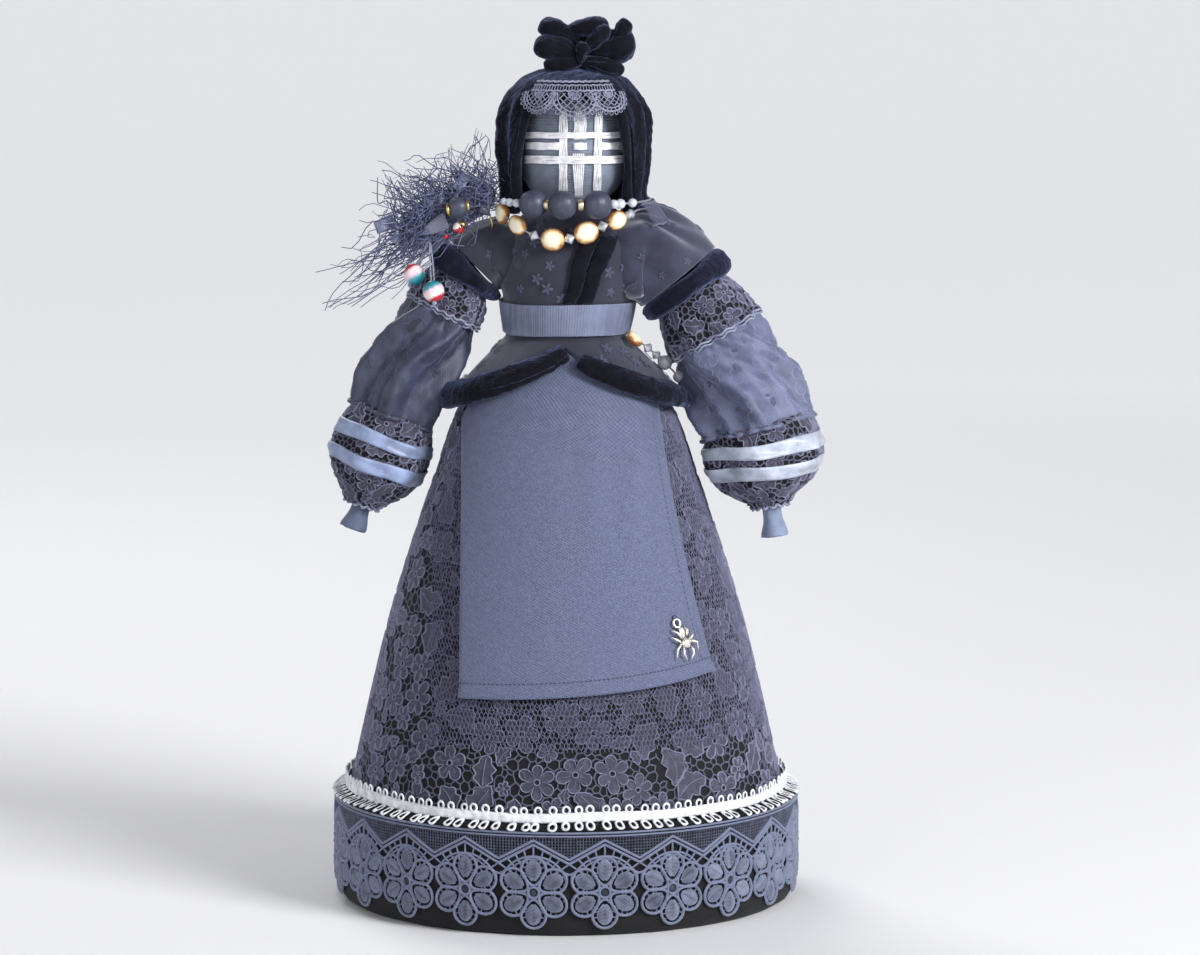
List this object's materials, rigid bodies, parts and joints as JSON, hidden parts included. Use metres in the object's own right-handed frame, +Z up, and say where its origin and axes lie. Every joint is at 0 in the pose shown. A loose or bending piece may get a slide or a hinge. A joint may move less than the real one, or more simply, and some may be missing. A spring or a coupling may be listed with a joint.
{
  "type": "doll",
  "caption": "Wound rag doll in a long black lace dress with apron, velvet hood and bead necklaces, a thread grid in place of a face, standing on its stuffed skirt.",
  "frame": {"origin": "middle of the flat underside of the stuffed skirt", "axes": "+Z up through the head, the doll faces -Y, +X is to the right in the front view"},
  "size_m": [0.1778, 0.164, 0.3081],
  "materials": {
    "card": "matt grey card",
    "stuffing": "black cotton over wadding",
    "arm_cloth": "rolled black cotton",
    "lining": "black lining",
    "lace": "floral and guipure lace, dark mauve grey",
    "net": "fine black tulle",
    "apron": "slate blue twill, matt",
    "bodice": "black cotton with small raised flowers",
    "grosgrain": "slate grosgrain with a sheen",
    "velvet": "black velvet with a blue sheen",
    "organza": "sheer black organza",
    "satin": "slate blue satin",
    "face": "dark ribbed cloth",
    "white": "white thread and braid",
    "wood": "black stained, matt",
    "shell": "polished ivory shell with amber rims",
    "crystal": "clear bicones and pearls on thread",
    "string": "pale thread",
    "thread": "loose navy thread",
    "suede": "grey suede",
    "red_glass": "dark red glass",
    "painted": "painted in white, red and teal",
    "brass": "pale cast metal"
  },
  "bodies": {
    "root": {"apron": "apron", "arm_roll_left": "arm_cloth", "arm_roll_right": "arm_cloth", "base_disc": "card", "black_bead_1": "wood", "black_bead_2": "wood", "black_bead_3": "wood", "bodice": "bodice", "brow_lace": "lace", "cap_sleeve_left": "bodice", "cap_sleeve_right": "bodice", "charm_cord": "string", "cone_bead": "wood", "cuff_ribbon_lower_left": "satin", "cuff_ribbon_lower_right": "satin", "cuff_ribbon_upper_left": "satin", "cuff_ribbon_upper_right": "satin", "face_stitch": "white", "face_threads": "white", "head": "face", "hem_band": "lining", "hem_lace": "lace", "hip_chain": "crystal", "hip_shell": "shell", "lace_cuff_left": "lace", "lace_cuff_right": "lace", "lace_skirt": "lace", "lace_sleeve_left": "lace", "lace_sleeve_right": "lace", "lapel_left": "velvet", "lapel_right": "velvet", "lower_necklace": "crystal", "net_collar": "net", "net_overskirt": "net", "organza_sleeve_left": "organza", "organza_sleeve_right": "organza", "painted_bead_1": "painted", "painted_bead_2": "painted", "peplum_trim_left": "velvet", "peplum_trim_right": "velvet", "picot_braid": "white", "red_bead": "red_glass", "shell_bead_1": "shell", "shell_bead_2": "shell", "shell_bead_3": "shell", "shell_bead_4": "shell", "shell_bead_5": "shell", "shoulder_bead": "wood", "skirt_filling": "stuffing", "spider_charm": "brass", "suede_leaf": "suede", "thread_tuft": "thread", "torso_roll": "stuffing", "upper_necklace": "crystal", "velvet_cuff_left": "velvet", "velvet_cuff_right": "velvet", "velvet_hood": "velvet", "velvet_rosette": "velvet", "waist_ribbon": "grosgrain"}
  },
  "joints": []
}
